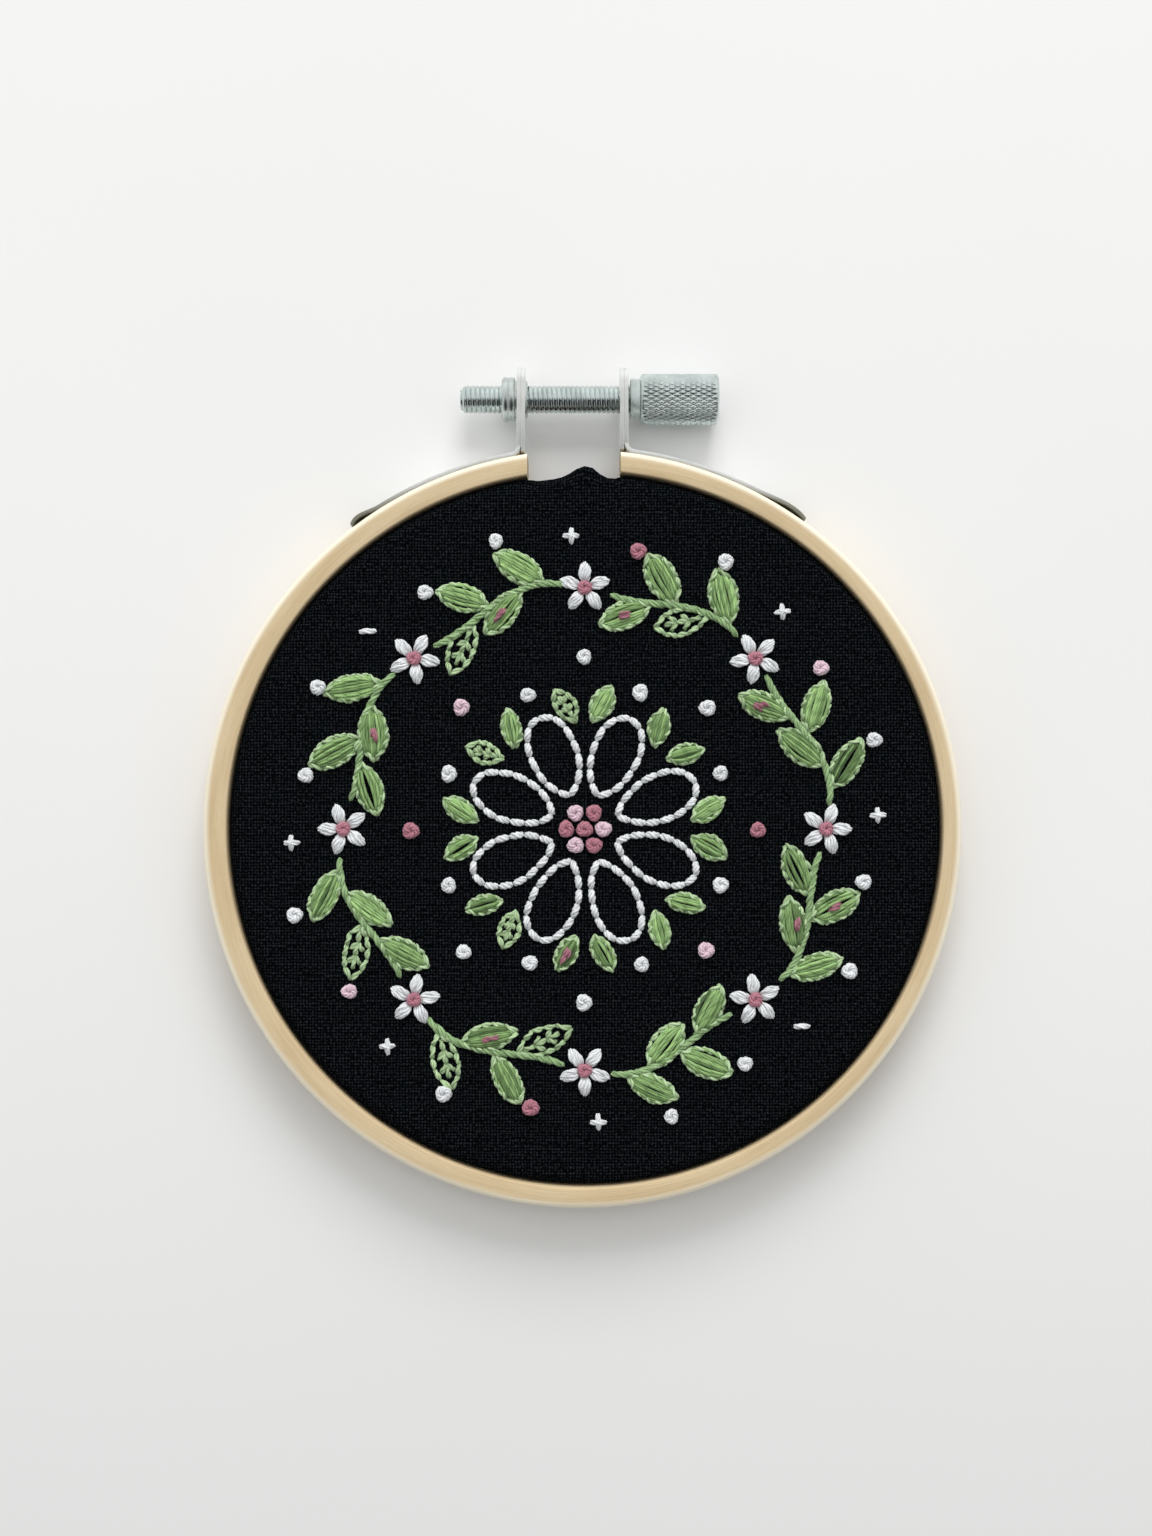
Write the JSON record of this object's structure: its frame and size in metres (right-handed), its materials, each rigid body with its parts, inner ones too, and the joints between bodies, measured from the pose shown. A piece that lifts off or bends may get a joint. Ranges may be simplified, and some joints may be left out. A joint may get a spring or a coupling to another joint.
{
  "type": "hoop embroidery art, embroidered cloth in its wooden hoop",
  "caption": "Black cotton stretched in a small round split wooden hoop, with a raised leafy wreath round an open flower; a thumb screw through two lugs closes the hoop.",
  "frame": {"origin": "centre of the bounding box on the surface that the hoop lies on, back down", "axes": "+Z out of the embroidered face, +Y from the cloth towards the screw, +X towards the knob"},
  "size_m": [0.1102, 0.1226, 0.0093],
  "materials": {
    "hoop_wood": "fine sanded, unvarnished pale wood",
    "black_cotton": "matte plain weave",
    "nickel_plate": "softly polished nickel plate",
    "zinc_plate": "bluish zinc plate"
  },
  "bodies": {
    "hoop": {"outer_ring": "hoop_wood", "inner_ring": "hoop_wood", "cloth": "black_cotton", "bracket_left": "nickel_plate", "bracket_right": "nickel_plate", "nut": "nickel_plate"},
    "screw": {"thumb_screw": "zinc_plate"}
  },
  "joints": [
    {"name": "screw_turn", "type": "hinge", "parent": "hoop", "child": "screw", "pos_m": [0, 0.0569, 0.0045], "axis": [1, 0, 0], "range_deg": [-360, 360]}
  ]
}
